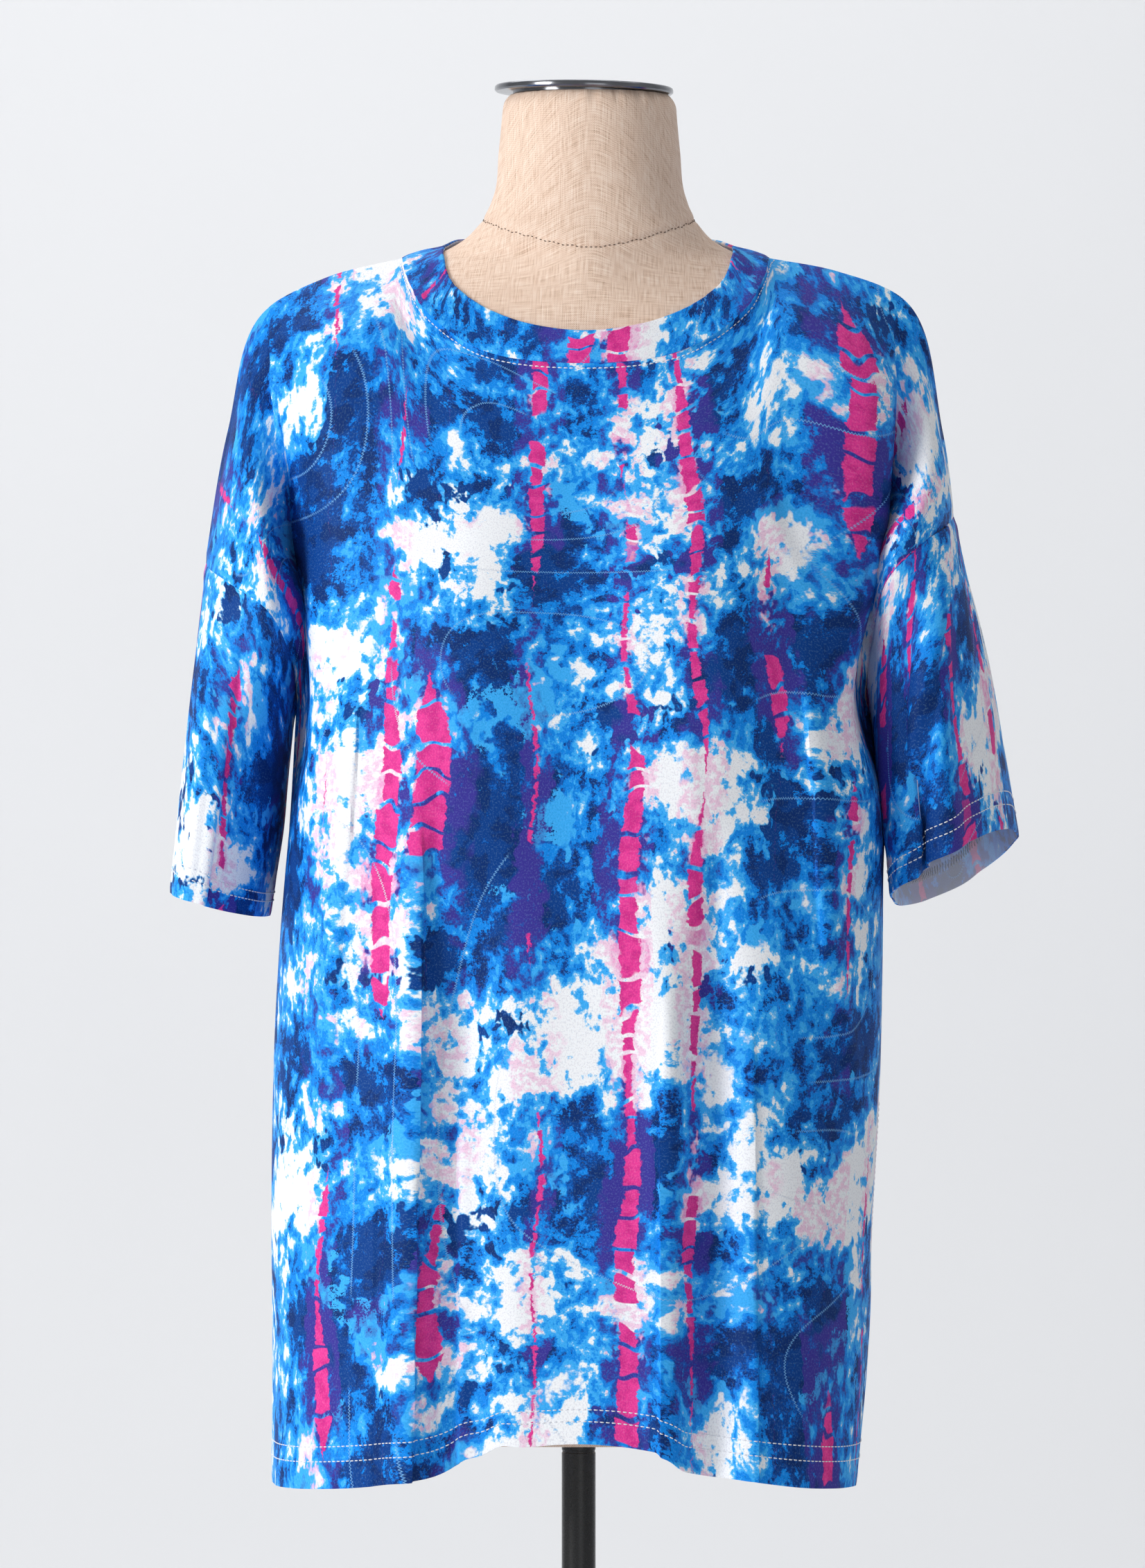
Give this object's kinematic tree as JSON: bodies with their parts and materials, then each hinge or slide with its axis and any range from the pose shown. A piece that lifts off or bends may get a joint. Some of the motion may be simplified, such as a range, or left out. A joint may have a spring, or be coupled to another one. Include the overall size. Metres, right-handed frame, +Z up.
{
  "type": "t-shirt on a dress form",
  "caption": "Loose tie-dye jersey t-shirt with dropped shoulders, elbow sleeves and side slits, worn on a limbless linen dress form on a pole stand.",
  "frame": {"origin": "middle of the stand's underside", "axes": "+Z up; the garment's front faces -Y and its own left side is +X"},
  "size_m": [0.5505, 0.36, 1.55],
  "materials": {
    "printed_jersey": "smooth matte jersey with a tie-dye print",
    "printed_jersey_band": "the same jersey, doubled",
    "linen": "woven linen, matte",
    "polished_metal": "polished",
    "black_pole": "satin",
    "black_base": "satin"
  },
  "bodies": {
    "root": {"front_panel": "printed_jersey", "back_panel": "printed_jersey", "sleeve_right": "printed_jersey", "sleeve_left": "printed_jersey", "neckband": "printed_jersey_band", "form_torso": "linen", "neck_cap": "polished_metal", "stand_pole": "black_pole", "stand_base": "black_base"}
  },
  "joints": []
}
